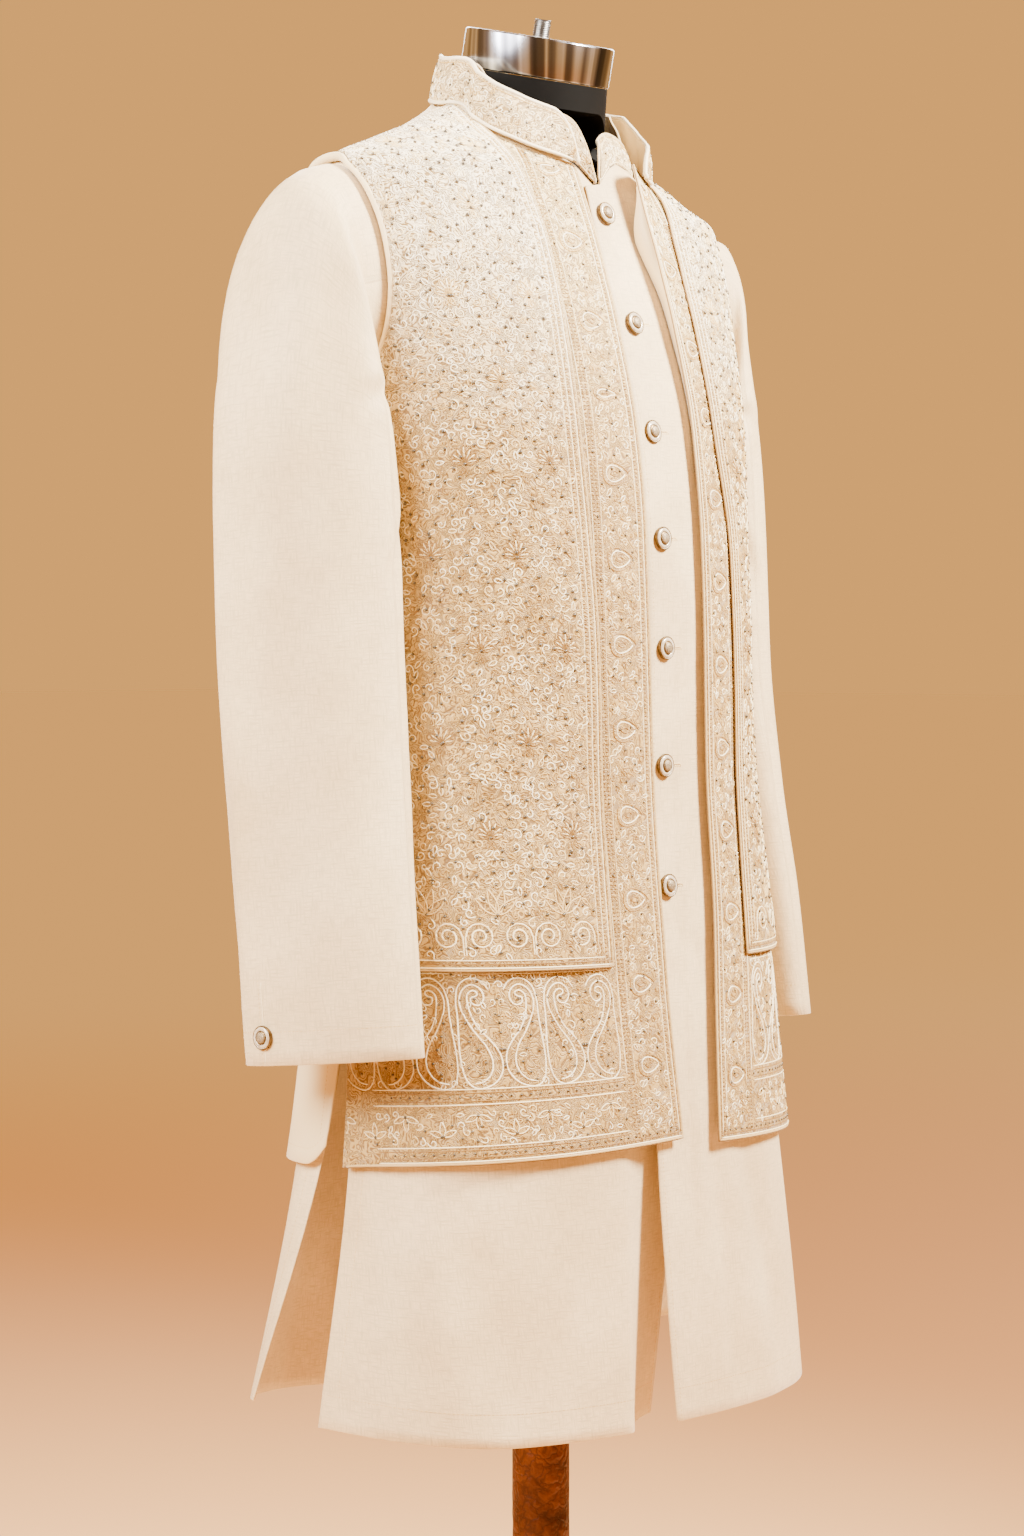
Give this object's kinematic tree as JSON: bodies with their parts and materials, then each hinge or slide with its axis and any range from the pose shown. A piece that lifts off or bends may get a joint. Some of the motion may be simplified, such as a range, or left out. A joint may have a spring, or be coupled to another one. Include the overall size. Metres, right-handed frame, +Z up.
{
  "type": "nehru jacket set on dress form",
  "caption": "Sleeveless open nehru jacket with layered fronts over a long-sleeved kurta with a stand collar, worn on a limbless dress form on a pole and round base.",
  "frame": {"origin": "middle of the stand's underside, on the floor", "axes": "+Z up along the pole, -Y the way the figure faces, +X towards the wearer's left"},
  "size_m": [0.5804, 0.35, 1.542],
  "materials": {
    "kurta_silk": "soft ivory cotton silk with a low sheen",
    "embroidered_cloth": "ivory cloth, closely embroidered in cream and pale gold cord",
    "jacket_back_cloth": "plain cream satin-faced cloth",
    "pearl_and_gilt": "pearl-look dome in thin gilt rims",
    "black_form": "smooth black",
    "polished_steel": "polished, lightly brushed round",
    "dark_steel": "dull dark steel",
    "wrapped_pole": "brown wrapping with a crinkled surface",
    "base_enamel": "dark enamel"
  },
  "bodies": {
    "root": {"kurta_front_right": "kurta_silk", "kurta_front_left": "kurta_silk", "kurta_back": "kurta_silk", "kurta_sleeve_right": "kurta_silk", "kurta_sleeve_left": "kurta_silk", "kurta_collar": "embroidered_cloth", "jacket_front_right_long": "embroidered_cloth", "jacket_front_left_long": "embroidered_cloth", "jacket_front_right_short": "embroidered_cloth", "jacket_front_left_short": "embroidered_cloth", "jacket_collar": "embroidered_cloth", "jacket_back": "jacket_back_cloth", "jacket_armhole_binding_right": "jacket_back_cloth", "jacket_armhole_binding_left": "jacket_back_cloth", "kurta_button_1": "pearl_and_gilt", "kurta_button_2": "pearl_and_gilt", "kurta_button_3": "pearl_and_gilt", "kurta_button_4": "pearl_and_gilt", "kurta_button_5": "pearl_and_gilt", "kurta_button_6": "pearl_and_gilt", "kurta_button_7": "pearl_and_gilt", "cuff_button_right": "pearl_and_gilt", "cuff_button_left": "pearl_and_gilt", "form_torso": "black_form", "form_neck_cap": "polished_steel", "form_cap_stud": "dark_steel", "stand_pole": "wrapped_pole", "stand_base": "base_enamel"}
  },
  "joints": []
}
